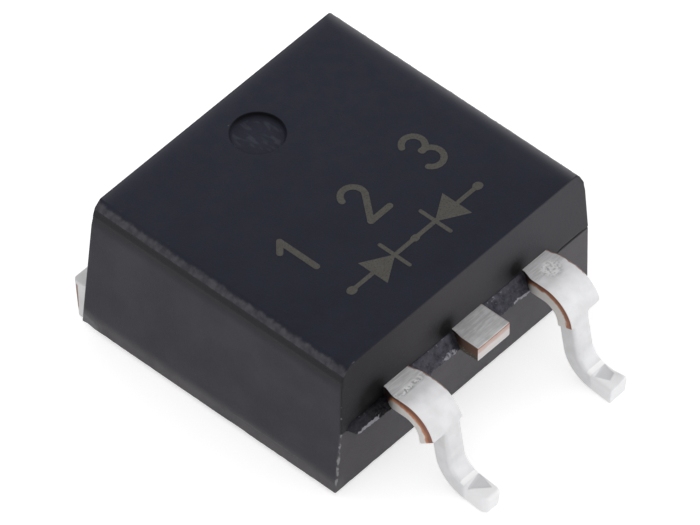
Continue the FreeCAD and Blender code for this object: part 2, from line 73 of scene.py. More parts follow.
def ease(low, high, x):
    """Smooth change from 0 at low to 1 at high, which may lie below low."""
    t = min(max((x - low) / (high - low), 0.0), 1.0)
    return t * t * (3 - 2 * t)


def polyline(points, x):
    """Height at x of a line through pairs."""
    for (x0, y0), (x1, y1) in zip(points, points[1:]):
        if x <= x1:
            return y0 + (y1 - y0) * (x - x0) / (x1 - x0)
    return points[-1][1]


def rough(point, size, seed=0.0):
    """Smooth random value of about -1 to 1 whose bumps are about this size."""
    return noise.noise(Vector(point) / size + Vector((seed, seed * 1.7, seed * 0.3)))


def blob(x, z, centre, spread):
    """Soft round spot: 1 in its middle, falling to 0 over its spread."""
    return exp(-((x - centre[0]) / spread[0]) ** 2 - ((z - centre[1]) / spread[1]) ** 2)


def fall(radius, into):
    """How far a rounding of this radius has fallen away at a distance into it."""
    return radius - sqrt(max(radius ** 2 - max(into, 0.0) ** 2, 0.0))


def unit(turn):
    return Vector((cos(turn), sin(turn)))


def rounded_box(low, high, corners, sweep, steps, counts):
    """Closed outline of a box whose round corners each have a radius and a start in degrees."""
    arcs = []
    for radius, start in corners:
        ways = unit(radians(start + sweep / 2))
        centre = Vector([a + radius if way < 0 else b - radius for a, b, way in zip(low, high, ways)])
        arcs.append([centre + radius * unit(radians(start + sweep * k / steps)) for k in range(steps + 1)])
    loop = []
    for arc, after, count in zip(arcs, arcs[1:] + arcs[:1], counts):
        loop += arc + [arc[-1].lerp(after[0], k / count) for k in range(1, count)]
    return loop


# Meshes


def add_object(name, data):
    obj = bpy.data.objects.new(name, data)
    scene.collection.objects.link(obj)
    return obj


def make_object(name, verts, faces, attributes=(), smooth=True):
    """Object of a mesh in millimetres, with values at its points that its material reads."""
    mesh = bpy.data.meshes.new(name)
    mesh.from_pydata([Vector(v) * MM for v in verts], [], faces)
    for key, values in attributes:
        layer = mesh.attributes.new(key, "FLOAT", "POINT")
        layer.data.foreach_set("value", values)
    bm = bmesh.new()
    bm.from_mesh(mesh)
    bmesh.ops.recalc_face_normals(bm, faces=bm.faces)
    bm.to_mesh(mesh)
    bm.free()
    for polygon in mesh.polygons:
        polygon.use_smooth = smooth
    obj = add_object(name, mesh)
    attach(obj, "root")
    return obj


def add_slab(bm, outline, low, high):
    """Adds the upright prism of an outline between two heights to an edit mesh."""
    below, above = ([bm.verts.new((x, y, z)) for x, y in outline] for z in (low, high))
    bm.faces.new(above)
    bm.faces.new(below[::-1])
    for k in range(len(outline)):
        j = (k + 1) % len(outline)
        bm.faces.new((below[k], below[j], above[j], above[k]))


def take_mesh(bm):
    """Points and faces of an edit mesh, whose large faces are cut into triangles."""
    bmesh.ops.triangulate(bm, faces=[face for face in bm.faces if len(face.verts) > 4])
    bm.verts.index_update()
    verts = [v.co.copy() for v in bm.verts]
    faces = [[v.index for v in face.verts] for face in bm.faces]
    bm.free()
    return verts, faces


def make_skin(name, loops, attributes):
    """Object of faces between loops of equal length, closed by a fan at both ends."""
    count = len(loops[0])
    verts = [v for loop in loops for v in loop]
    faces = []
    for k in range(len(loops) - 1):
        for i in range(count):
            j = (i + 1) % count
            faces.append((k * count + i, k * count + j, (k + 1) * count + j, (k + 1) * count + i))
    for end in (0, len(loops) - 1):
        middle = sum((Vector(v) for v in loops[end]), Vector()) / count
        verts.append(middle)
        hub = len(verts) - 1
        for key, values in attributes:
            values.append(sum(values[end * count:(end + 1) * count]) / count)
        for i in range(count):
            faces.append((end * count + i, end * count + (i + 1) % count, hub))
    return make_object(name, verts, faces, attributes)


def even_normals(obj):
    """Keeps the large faces flat and turns the shading only on the narrow roundings."""
    modifier = obj.modifiers.new("even_normals", "WEIGHTED_NORMAL")
    modifier.keep_sharp = True
    modifier.weight = 100


def join(name, pieces):
    """One object from several, whose first gives it its name and material."""
    bpy.ops.object.select_all(action="DESELECT")
    for piece in pieces:
        piece.select_set(True)
    bpy.context.view_layer.objects.active = pieces[0]
    bpy.ops.object.join()
    pieces[0].name = name
    pieces[0].data.name = name
    return pieces[0]


# Moulded body

CORNER = 0.04
SIDE_POINTS = 170
CORNER_STEPS = 4
RIM_INSET = 0.27
NECK_DEPTH = 0.48
BAND_END = 0.82
PARTING_STEP = 0.01
EDGE = 0.016
MARK_RADIUS = 0.775
MARK_DEPTH = 0.18
MARK_Y = FRONT + 7.37

# Ejector mark: radius beyond its own, drop, painted shade of that ring on the wall, and how far that ring is
# on the floor
MARK_WALL = [(0.016, 0.0, 0, 0), (0.004, 0.003, 0, 0), (-0.004, 0.014, 0.9, 0), (-0.02, 0.07, 1, 0),
             (-0.04, 0.12, 0.7, 0), (-0.065, MARK_DEPTH - 0.02, 0.4, 0), (-0.085, MARK_DEPTH - 0.004, 0.2, 0),
             (-0.105, MARK_DEPTH, 0.1, 1)]
MARK_WALL += [(radius, MARK_DEPTH, 0, 1) for radius in (-0.16, -0.3, -0.45, -0.6)]

# Heights of the body's outlines over the underside and over the leads' base, and their drops below the top
LOW_HEIGHTS = [0.03, 0.06, 0.1, 0.15, 0.21, 0.28, 0.36, 0.45, 0.6, 0.8, 1.0, 1.2, 1.4, 1.6, 1.75, 1.9,
               2.02, 2.12, 2.2, 2.25, 2.28]
MIDDLE_HEIGHTS = [-0.003, 0.002, 0.015, 0.03, 0.045, 0.06, 0.075, 0.09, 0.105, 0.12, 0.18, 0.25, 0.33,
                  0.42, 0.52, 0.62, 0.72, 0.82, 0.92, 1.03, 1.15, 1.27, 1.36, 1.43]
TOP_DROPS = [BAND_END, 0.76, 0.71, 0.66, 0.61, 0.57, 0.52, NECK_DEPTH, 0.45, 0.42, 0.36, 0.3, 0.25, 0.22, 0.2,
             0.185, 0.17, 0.15, 0.125, 0.1, 0.075, 0.055, 0.035]

# Drop below the top and distance outwards from the edge of the top face
RIM_LEFT = [(0.0, 0.0), (0.2, 0.21), (0.45, 0.27), (NECK_DEPTH, 0.27)]
RIM_RIGHT = [(0.0, 0.0), (0.17, 0.13), (0.42, 0.25), (NECK_DEPTH, 0.27)]


def half_width(z, rim):
    """Distance of a side from the middle at a height, with the bevel and the smooth band of its rim."""
    drop = TOP - z
    side = HALF_WIDTH - (z - UNDERSIDE) * SIDE_DRAFT
    edge = HALF_WIDTH - (TOP - UNDERSIDE) * SIDE_DRAFT - RIM_INSET
    if drop >= BAND_END:
        return side
    out = edge + polyline(rim, drop)
    if drop <= NECK_DEPTH:
        return out
    return out + (side - out) * ease(NECK_DEPTH, BAND_END, drop)


def body_front(z):
    if z > LEAD_BASE:
        return FRONT + (z - LEAD_BASE) * FRONT_DRAFT
    return FRONT + PARTING_STEP + (LEAD_BASE - z) * FRONT_DRAFT


def body_back(z):
    return BACK - (z - UNDERSIDE) * BACK_DRAFT


def body_loop(z, inset=0.0):
    """Rounded outline of the body at a height, from the left front corner and round by the right."""
    left, right = -half_width(z, RIM_LEFT) + inset, half_width(z, RIM_RIGHT) - inset
    front, back = body_front(z) + inset, body_back(z) - inset
    corners = [(CORNER, start) for start in (180, 270, 0, 90)]
    loop = rounded_box((left, front), (right, back), corners, 90, CORNER_STEPS, [SIDE_POINTS] * 4)
    return [Vector((p.x, p.y, z)) for p in loop]


def body_levels():
    """Heights of the outlines with how far each lies inside the full one, for the roundings."""
    turns = [radians(30 * k) for k in range(4)]
    levels = [(UNDERSIDE + EDGE * (1 - cos(turn)), EDGE * (1 - sin(turn))) for turn in turns]
    heights = [UNDERSIDE + height for height in LOW_HEIGHTS]
    heights += [LEAD_BASE + height for height in MIDDLE_HEIGHTS]
    heights += [TOP - drop for drop in TOP_DROPS]
    levels += [(height, 0.0) for height in heights]
    levels += [(TOP - EDGE + EDGE * sin(turn), EDGE * (1 - cos(turn))) for turn in turns[1:]]
    return levels


# Painted shadows on the front beside the leads: middle in X and over the leads' top, spread and strength
PAINTED_SHADOWS = [
    ((-3.44, -0.16), (0.22, 0.42), 1.0),
    ((-3.62, 0.08), (0.44, 0.5), 0.95),
    ((-4.1, -0.05), (0.5, 0.45), 0.45),
    ((-0.74, 0.18), (0.3, 0.36), 0.95),
    ((-1.15, 0.42), (0.5, 0.42), 0.4),
    ((2.02, 0.2), (0.32, 0.38), 0.9),
    ((1.6, 0.45), (0.5, 0.42), 0.35),
]


def in_gap(p):
    """How far a point of the front lies in the open parting line at its right end, 0 to 1."""
    height = 0.055 + 0.055 * ease(3.5, 3.8, p.x) * ease(4.95, 4.5, p.x)
    height += 0.02 * rough((p.x, 0, 0), 0.12, 33)
    inside = LEAD_BASE - 0.001 < p.z < LEAD_BASE + height
    return ease(3.35, 3.55, p.x) if inside else 0.0


def edge_gaps(p):
    """Distances of a point from the left, right, front and back of the body at its height."""
    left, right = abs(p.x + half_width(p.z, RIM_LEFT)), abs(p.x - half_width(p.z, RIM_RIGHT))
    return left, right, abs(p.y - body_front(p.z)), abs(p.y - body_back(p.z))


def body_zones(p, on_top):
    """Values of a point of the body that its material reads."""
    drop = TOP - p.z
    left_gap, right_gap, front_gap, back_gap = edge_gaps(p)
    side_gap = min(left_gap, right_gap)
    on_side = 0.0 if on_top else ease(0.09, 0.02, side_gap)
    on_front = 0.0 if on_top else ease(0.06, 0.02, front_gap)
    lower = ease(LEAD_BASE + 0.02, LEAD_BASE - 0.03, p.z)
    front_corner = ease(0.065 + 0.025 * lower, 0.02, max(left_gap, front_gap))
    top_corner = ease(0.06, 0.01, max(front_gap, drop)) * ease(-3.6, -4.4, p.x)
    over_lead = p.z - LEAD_TOP
    # Painted shade in the open parting line at the right end, and painted shadows beside the leads
    stain = in_gap(p)
    stain += sum(strength * blob(p.x, over_lead, centre, spread) for centre, spread, strength in PAINTED_SHADOWS)
    corner_gap = hypot(p.y - body_back(UNDERSIDE), 1.4 * (p.z - UNDERSIDE))
    if on_top:
        top, low = 1.0, 0.0
        rim = (0.55 if p.x > 0 else 0.15) * ease(0.14, 0.0, side_gap)
        edge = max(exp(-right_gap / 0.1), 0.27 * exp(-back_gap / 0.13))
    else:
        top = max(ease(EDGE, 0.0, drop) * 0.5, on_side * ease(0.17, 0.04, drop))
        low = ease(-4.5, -4.9, p.x) * (0.9 * ease(0.75, 0.1, p.z - UNDERSIDE) + ease(0.85, 0.1, corner_gap))
        rim = on_side * ease(0.28, 0.18, drop) * ease(-0.02, 0.17, drop)
        edge = ease(0.06, 0.0, right_gap) * ease(0.15, 0.0, drop) * ease(0.0, 0.05, front_gap)
    return {
        "top": top,
        "rim": rim,
        # painted shade: the smooth band below the rim is darkened
        "band": on_side * ease(0.17, 0.28, drop) * ease(0.85, 0.34, drop),
        "front": on_front,
        "stain": min(stain, 1.0) * on_front,
        "worn": front_corner * (0.45 + 0.55 * lower) + 0.4 * top_corner,
        "low": low,
        "edge": edge,
        "pit": 0.0,
        "floor": 0.0,
    }


def roughen(p, on_top):
    """Torn bevel, bruised lower edge, a chipped corner and the parting gap of one point of the body."""
    drop = TOP - p.z
    side_gap = min(edge_gaps(p)[:2])
    grain = 0.6 * rough((p.x, p.y, 0), 0.17, 3) + 0.5 * rough((p.x, p.y, 0), 0.08, 5)
    if drop < 0.24 and side_gap < 0.14:
        strength = ease(0.14, 0.03, side_gap) * ease(0.24, 0.12, drop)
        p.x += copysign(0.026 * grain * strength, p.x)
        if not on_top:
            p.z += 0.012 * rough(p, 0.11, 15) * ease(0.0, 0.06, drop) * strength
    height = p.z - UNDERSIDE
    if height < 0.3:
        bruise = max(rough(p, 0.21, 9), 0.0) * ease(0.12, 0.0, height)
        p.z += 0.022 * bruise
        corner = hypot(p.x + HALF_WIDTH, p.y - BACK)
        chip = ease(0.5, 0.05, corner) * ease(0.3, 0.0, height)
        p.x += 0.03 * chip * (0.6 + rough(p, 0.12, 21))
        p.z += 0.03 * chip * (0.6 + rough(p, 0.1, 23))
    if p.y < FRONT + 0.1:
        p.y += 0.1 * in_gap(p)


def make_body():
    """Shell of the moulding: roundings and rims in the outline, an ejector mark in the top."""
    loops = [body_loop(z, inset) for z, inset in body_levels()]
    wall_loops = len(loops)
    loops += [body_loop(TOP, EDGE + gap) for gap in (0.02, 0.05, 0.085, 0.13, 0.19, 0.26, 0.35)]
    centre = Vector((0.0, MARK_Y, TOP))
    last = [p.copy() for p in loops[-1]]

    outs = [(p - centre).xy.normalized() for p in last]

    def round_loop(radius, z):
        """Circle about the ejector mark whose points lie in line with the outline's."""
        return [Vector((centre.x + out.x * radius, centre.y + out.y * radius, z)) for out in outs]

    rim = round_loop(MARK_RADIUS + MARK_WALL[0][0], TOP)
    loops += [[a.lerp(b, share) for a, b in zip(last, rim)] for share in (0.12, 0.3, 0.5, 0.7, 0.85, 0.95)]

    zones = {key: [] for key in body_zones(loops[0][0], False)}
    for n, loop in enumerate(loops):
        for p in loop:
            for key, value in body_zones(p, n >= wall_loops).items():
                zones[key].append(value)
            roughen(p, n >= wall_loops)

    # Painted shade on the wall of the ejector mark, strongest where the wall faces the front left
    away = Vector((0.74, 0.67))
    turned = [ease(0.1, 0.9, away.dot(out)) for out in outs]
    for radius, drop, pit, floor in MARK_WALL:
        loops.append(round_loop(MARK_RADIUS + radius, TOP - drop))
        flat = {"top": 1.0, "floor": float(floor)}
        for key in zones:
            zones[key] += [pit * (0.4 + 0.6 * t) if key == "pit" else flat.get(key, 0.0) for t in turned]

    body = make_skin("moulding", loops, zones.items())
    even_normals(body)
    return body


# Broken flash

# Sections from the wall over the torn face to the lip and back: distance out of the front and height over the
# leads' base. A strip that runs out shrinks towards the middle height.
WEDGE = [(-0.1, 0.43), (0.0, 0.46), (0.05, 0.43), (0.12, 0.34), (0.2, 0.23), (0.27, 0.12), (0.315, 0.04),
         (0.325, 0.0), (0.28, -0.03), (0.16, -0.03), (-0.1, -0.03)]
ROLL = [(-0.1, 0.14), (0.0, 0.18), (0.07, 0.17), (0.14, 0.11), (0.19, 0.03), (0.225, -0.05), (0.24, -0.11),
        (0.235, -0.15), (0.18, -0.19), (0.1, -0.2), (-0.1, -0.2)]
FLASH_MIDDLE = 0.05


def spread_section(section, step=0.022):
    """The same section with points close together, each with the share of its way round."""
    lengths = [dist(a, b) for a, b in zip(section, section[1:])]
    total, gone, dense = sum(lengths), 0.0, []
    for (a, b), length in zip(zip(section, section[1:]), lengths):
        count = max(round(length / step), 1)
        for k in range(count):
            t = k / count
            dense.append((a[0] + (b[0] - a[0]) * t, a[1] + (b[1] - a[1]) * t, (gone + length * t) / total))
        gone += length
    return dense + [(*section[-1], 1.0)]


def make_flash(name, start, end, section, seed, lip, lip_start, darkening, ends=(0.0, 0.0)):
    """Strip of broken moulding between two places along the front, with a torn sloping face.

    lip gives how bright the broken lip is at a place along X, through filler and a painted highlight, and the
    darkening function how dark the strip is there, with painted shadow next to the leads. lip_start is the
    share of the reach where the lip begins, ends over what length each end runs out.
    """
    stations = int(abs(end - start) / 0.02)
    dense = spread_section(section)
    reach = max(out for out, up, share in dense)
    loops, glint, dark = [], [], []
    for s in range(stations + 1):
        x = start + (end - start) * s / stations
        size = 1.0 + 0.16 * rough((x, seed, 0), 0.33, seed) + 0.1 * rough((x, seed, 0), 0.09, seed + 4)
        fade = 1.0
        for where, length in zip((start, end), ends):
            if length:
                fade *= 0.12 + 0.88 * ease(-0.02, length, abs(x - where))
        loop = []
        for out, up, share in dense:
            outward = max(out, 0.0) / reach
            ahead = out * size * fade if out > 0 else out
            p = Vector((x, FRONT - ahead, LEAD_BASE + FLASH_MIDDLE + (up - FLASH_MIDDLE) * fade))
            tear = ease(0.0, 0.12, out)
            lump = 0.03 * rough(p, 0.13, seed + 1) + 0.018 * rough(p, 0.055, seed + 2)
            p.y -= tear * lump
            rise = 0.024 * rough(p, 0.11, seed + 3) + 0.014 * rough(p, 0.05, seed + 6)
            p.z += (0.25 + 0.75 * tear) * rise
            loop.append(p)
            # Bright filler and painted highlight on the lip and the crest
            on_lip = ease(lip_start, 0.97, outward)
            on_crest = ease(0.12, 0.02, abs(out - 0.01)) if share < 0.4 else 0.0
            glint.append(max(on_lip * lip(x), 0.34 * on_crest))
            dark.append(darkening(x))
        loops.append(loop)
    return make_skin(name, loops, [("glint", glint), ("dark", dark)])


# Metal strips


def section_points(low, high, bottom, top, top_round, bottom_round):
    """Closed section of a strip with round corners: X and height over its middle plane."""
    limit = 0.45 * min(high - low, top - bottom)
    upper, lower = min(top_round, limit), min(bottom_round, limit)
    corners = [(upper, 180), (upper, 90), (lower, 0), (lower, 270)]
    return rounded_box((low, bottom), (high, top), corners, -90, 5, (16, 10, 8, 10))


def trace(start, heading, pieces, step=0.02):
    """Points, headings and lengths along a path of lines (length,) and arcs (radius, turn in degrees)."""
    place, run = Vector(start), 0.0
    stations = [(place.copy(), heading, run)]
    for piece in pieces:
        turn = radians(piece[1]) if len(piece) == 2 else 0.0
        length = piece[0] * abs(turn) if turn else piece[0]
        count = max(int(length / step), 1)
        half = turn / count / 2
        chord = 2 * piece[0] * sin(abs(half)) if turn else length / count
        for _ in range(count):
            place = place + chord * unit(heading + half)
            heading += 2 * half
            run += length / count
            stations.append((place.copy(), heading, run))
    return stations


def at_run(stations, run):
    """Place and heading at a length along a traced path."""
    for before, after in zip(stations, stations[1:]):
        if run <= after[2]:
            share = (run - before[2]) / max(after[2] - before[2], 1e-9)
            return before[0].lerp(after[0], share), before[1] + (after[1] - before[1]) * share
    return stations[-1][:2]


BURR = 0.03
STRIP_KEYS = ("side", "depth", "end", "bare", "right_gap", "facet", "crease", "pressed")


def make_strip(name, stations, runs, edges, looks, seed, dent=None, lift=None, slide=None,
               rounds=(BURR, BURR, 0.0), tip=0.02):
    """Sheet-metal strip along a path in the YZ plane.

    edges gives low and high X at a length along the path. looks gives the values that follow from the
    place: share of bare side, bareness all over, distance outside the foot's facet and beyond its crease.
    dent and lift move the top down and up, slide moves points on along the path. rounds is the radius of
    the top edges at the start and at the end and the length where it changes, tip the rounding of the top
    at the very end.
    """
    total = stations[-1][2]
    values = {key: [] for key in STRIP_KEYS}
    loops = []

    def add_loop(run, shrink=1.0):
        low, high = edges(run)
        top = SHEET / 2 - fall(tip, run - (total - tip))
        bottom = fall(BURR, run - (total - BURR)) - SHEET / 2
        top_round = rounds[0] if run < rounds[2] else rounds[1]
        middle = Vector(((low + high) / 2, (top + bottom) / 2))
        loop = []
        for spot in section_points(low, high, bottom, top, top_round, BURR):
            spot = middle + (spot - middle) * shrink
            x, t = spot
            place, heading = at_run(stations, run + (slide(run, x, t) if slide else 0.0))
            across = Vector((sin(heading), -cos(heading)))
            y, z = place + across * t
            p = Vector((x, y, z))
            pressed = dent(x, FRONT - y) if dent and t > 0.2 else 0.0
            raised = lift(x, FRONT - y) * (t / SHEET + 0.5) if lift else 0.0
            outwards = 0.003 * rough(p, 0.35, seed) - 0.02 * pressed + raised
            p.y += across.x * outwards
            p.z += across.y * outwards
            loop.append(p)
            beside = ease(0.05, 0.02, min(x - low, high - x)) if abs(t) < SHEET / 2 - 0.012 else 0.0
            share, bare, facet, crease = looks(run, x, FRONT - y)
            ending = 1.0 if shrink < 1 else 0.0
            new = (beside * share, 0.5 - t / SHEET, ending * bare, bare, high - x, facet, crease, pressed)
            for key, value in zip(STRIP_KEYS, new):
                values[key].append(value)
        loops.append(loop)

    for run in runs:
        add_loop(run)
    for shrink in (0.985, 0.85, 0.6, 0.3, 0.08):
        add_loop(total, shrink)
    strip = make_skin(name, loops, values.items())
    even_normals(strip)
    return strip


# Leads: radii inside the bends, degrees of the leg out of the upright and of the foot out of the level,
# lengths of the flat outside and inside the body, edges of the leg and of its wide shoulder, and turn
# where the shoulder ends
BEND = 0.5
LEAN = 9.5
FOOT_BEND = 0.6
FOOT_SLOPE = 6.0
FLAT = 0.81
ROOT = 0.45
LEG_LOW, LEG_HIGH = 2.22, 2.86
SHOULDER_LOW, SHOULDER_HIGH = LEAD_LOW.x + 1.18, LEAD_HIGH.x - 0.2
EXIT_TAPER = 0.1
TAPER_LENGTH = 0.43
SHOULDER_TURN = 73.0


def lead_path(reach):
    """Middle line of a gull-wing lead from inside the body to the tip of the foot."""
    start = Vector((FRONT + ROOT, LEAD_TOP - SHEET / 2))
    knee, ankle = BEND + SHEET / 2, FOOT_BEND + SHEET / 2
    turn_down, turn_out = 90 - LEAN, 90 - LEAN - FOOT_SLOPE
    slope = radians(FOOT_SLOPE)
    height = SHEET / 2 * cos(slope) + (FOOT_REACH - reach) * tan(slope)
    end = Vector((FRONT - reach + SHEET / 2 * sin(slope), height))
    bent = [(ROOT + FLAT,), (knee, turn_down)]
    leg_start, leg_heading, _ = trace(start, pi, bent)[-1]
    ankle_width, foot_heading, _ = trace((0, 0), leg_heading, [(ankle, -turn_out)])[-1]
    gap = end - leg_start - ankle_width
    leg, foot = unit(leg_heading), unit(foot_heading)
    area = leg.x * foot.y - leg.y * foot.x
    leg_length = (gap.x * foot.y - gap.y * foot.x) / area
    foot_length = (leg.x * gap.y - leg.y * gap.x) / area
    return trace(start, pi, bent + [(leg_length,), (ankle, -turn_out), (foot_length,)])


def outside(corners, u, v):
    """Distance of a point outside a convex outline, less than 0 inside it."""
    gaps = []
    for (u0, v0), (u1, v1) in zip(corners, corners[1:] + corners[:1]):
        gaps.append(((u - u0) * (v1 - v0) - (v - v0) * (u1 - u0)) / hypot(u1 - u0, v1 - v0))
    return max(gaps)


def make_lead(name, seed, on_left, reach, tip_plan, tip_profile, crease_place, facet, dent, raised, late):
    """Anode lead of one side, as it lies in the row frame.

    facet holds the corners of the pressed facet on the foot as shares of its width and of its length
    beyond the crease. raised is how far the far corner of the tip stands up, late how much further the
    shoulder runs at its left edge, on top and below.
    """
    stations = lead_path(reach)
    total = stations[-1][2]
    step = ROOT + FLAT + (BEND + SHEET / 2) * radians(SHOULDER_TURN)
    shoulder_round, step_round = 0.07, 0.12

    def narrowing(run):
        return EXIT_TAPER * ease(TAPER_LENGTH, 0.0, run - ROOT)

    def outer(run):
        if run <= step:
            return SHOULDER_HIGH - narrowing(run) - fall(shoulder_round, run - (step - shoulder_round))
        return LEG_HIGH + fall(step_round, step + step_round - run)

    def inner(run):
        if run <= step:
            return SHOULDER_LOW + narrowing(run)
        return LEG_LOW - (LEG_LOW - SHOULDER_LOW) * ease(0.05, 0.0, run - step)

    def edges(run):
        curve = 0.8 * fall(tip_plan, run - (total - tip_plan))
        low, high = inner(run) + curve, outer(run) - curve
        return (-high, -low) if on_left else (low, high)

    leg_low = -LEG_HIGH if on_left else LEG_LOW

    def on_foot(x, out):
        return (x - leg_low) / (LEG_HIGH - LEG_LOW), (out - crease_place) / (FOOT_REACH - crease_place)

    def looks(run, x, out):
        share = ease(step + 0.02, step - 0.02, run)
        return share, 0.0, outside(facet, *on_foot(x, out)), out - crease_place

    def pressed(x, out):
        u, v = on_foot(x, out)
        if v > 0:
            return 0.7 * ease(0.03, -0.08, outside(facet, u, v))
        return dent(x, out)

    def lift(x, out):
        u, v = on_foot(x, out)
        return raised * ease(0.3, 0.85, v) * ease(0.35, 0.95, u)

    def slide(run, x, t):
        near = ease(step - 0.5, step, run) * ease(step + 0.8, step + 0.1, run)
        further = late[0] + (late[1] - late[0]) * (0.5 - t / SHEET)
        return further * near * ease(leg_low + 0.3, leg_low + 0.05, x)

    rounding = max(tip_plan, tip_profile)
    runs = [run for _, _, run in stations if abs(run - step) > 0.01 and run < total - rounding - 0.01]
    runs += [step - shoulder_round * (1 - sin(radians(a))) for a in (0, 15, 30, 45, 60, 75)]
    runs += [step - 0.0008, step + 0.0008]
    runs += [step + step_round * (1 - cos(radians(a))) for a in (15, 30, 45, 60, 75, 90)]
    runs += [total - rounding * (1 - sin(radians(90 * k / 14))) for k in range(15)]
    runs = sorted(set(round(run, 5) for run in runs))
    rounds = (BURR, 0.1, step)
    return make_strip(name, stations, runs, edges, looks, seed, pressed, lift, slide, rounds, tip_profile)


def left_dent(x, out):
    """Uneven band that a tool pressed across the left lead."""
    band = ease(0.12, 0.03, abs(out - 0.5 - 0.05 * rough((x, 0, 0), 0.25, 3)))
    across = ease(-3.5, -3.36, x) * ease(-2.22, -2.32, x)
    return band * across * (0.7 + rough((x, out, 0), 0.12, 5))


def right_dent(x, out):
    """Cluster of small pits on the right lead."""
    return 0.8 * ease(0.32, 0.2, hypot((x - 2.8) / 1.1, out - 0.53))


PLATE_FRONT = FRONT + 1.7
PLATE_THICK = 1.4


def make_plate():
    """Heat spreader's plate and tab, with bevelled outer corners."""
    tab_half, tab_front, tab_back = PLATE_HIGH.x, BACK - 0.5, PLATE_HIGH.y
    plate_half, corner = 3.7, 0.1
    right = [(plate_half, PLATE_FRONT), (plate_half, tab_front), (tab_half, tab_front),
             (tab_half, tab_back - corner), (tab_half - corner, tab_back)]
    outline = right + [(-x, y) for x, y in reversed(right)]
    bm = bmesh.new()
    add_slab(bm, outline, 0.0, PLATE_THICK)
    bmesh.ops.recalc_face_normals(bm, faces=bm.faces)
    bmesh.ops.bevel(bm, geom=list(bm.edges), offset=0.03, segments=3, profile=0.5, affect="EDGES")
    verts, faces = take_mesh(bm)
    for v in verts:
        lean = 0.06 * (1 - v.z / PLATE_THICK)
        if abs(v.x) > tab_half - 0.2:
            v.x -= copysign(lean, v.x)
        if v.y > tab_back - 0.2:
            v.y -= lean
    plain = dict.fromkeys(STRIP_KEYS, 0.0)
    plain.update(right_gap=1.0, facet=1.0, crease=-9.0)
    attributes = [(key, [value] * len(verts)) for key, value in plain.items() if key != "depth"]
    attributes.append(("depth", [1 - v.z / PLATE_THICK for v in verts]))
    plate = make_object("plate", verts, faces, attributes)
    even_normals(plate)
    return plate


def make_spreader():
    """Plate with the tab, and the strap that leaves the body as the cut-off middle lead."""
    rise = radians(60)
    strap_radius = 0.15 + SHEET / 2
    cut_back = strap_radius * tan(rise / 2)
    height = LEAD_BASE - (PLATE_THICK - SHEET)
    slant = height / sin(rise) - 2 * cut_back
    low_corner = PLATE_FRONT - 0.5 + SHEET / 2 * tan(rise / 2)
    high_corner = low_corner - height / tan(rise)
    start = Vector((PLATE_FRONT + 0.3, PLATE_THICK - SHEET / 2))
    stub_end = PLATE_LOW.y
    stations = trace(start, pi, [(start.x - low_corner - cut_back,), (strap_radius, -60), (slant,),
                                 (strap_radius, 60), (high_corner - cut_back - stub_end,)])
    total = stations[-1][2]
    at_front = total - (FRONT - stub_end)
    half, taper = 0.61, 0.06

    def edges(run):
        inside = ease(0.0, 0.1, run - at_front + 0.25)
        side = half - taper * inside * ease(TAPER_LENGTH, 0.0, run - at_front)
        return -side, half + 0.04 * inside

    def looks(run, x, out):
        return 1.0, 1.0, 1.0, -9.0

    runs = [run for _, _, run in stations if run < total - BURR]
    runs += [total - BURR * (1 - k / 5) for k in range(6)]
    stub = make_strip("stub", stations, runs, edges, looks, 4.0)
    return join("tab_and_stub", [stub, make_plate()])


# Shader helpers


class Nodes:
    """Short names for building a node tree."""

    def __init__(self, owner):
        owner.use_nodes = True
        self.tree = owner.node_tree
        self.tree.nodes.clear()
        self.new = self.tree.nodes.new

    def put(self, socket, what):
        if isinstance(what, bpy.types.NodeSocket):
            self.tree.links.new(what, socket)
        elif isinstance(what, (tuple, list)) and len(what) == 3 and socket.type == "RGBA":
            socket.default_value = (*what, 1.0)
        else:
            socket.default_value = what

    def node(self, kind, output, *inputs, **settings):
        """New node with its settings and first inputs filled in, and one of its outputs."""
        node = self.new(kind)
        for key, value in settings.items():
            setattr(node, key, value)
        for socket, what in zip(node.inputs, inputs):
            self.put(socket, what)
        return node.outputs[output]

    def fill(self, node, **sockets):
        """Fills a node's inputs by their names, with _ for a space, and gives its outputs."""
        for key, what in sockets.items():
            self.put(node.inputs[key.replace("_", " ")], what)
        return node.outputs

    def vector(self, operation, a, b):
        return self.node("ShaderNodeVectorMath", 0, a, b, operation=operation)

    def uneven(self, value, pattern, strength=1.0):
        """Value made larger and smaller by a random pattern."""
        return self.plus(value, self.times(self.minus(pattern, 0.5), strength))

    def math(self, operation, a, b=0.0):
        return self.node("ShaderNodeMath", 0, a, b, operation=operation)

    def times(self, *factors):
        product = factors[0]
        for factor in factors[1:]:
            product = self.math("MULTIPLY", product, factor)
        return product

    def plus(self, a, b):
        return self.math("ADD", a, b)

    def minus(self, a, b):
        return self.math("SUBTRACT", a, b)

    def gap(self, a, b):
        return self.math("ABSOLUTE", self.minus(a, b))

    def range(self, *limits):
        """Smooth change of a value from its low to its high limit, from 0 to 1 or between two others."""
        return self.node("ShaderNodeMapRange", 0, *limits, interpolation_type="SMOOTHSTEP")


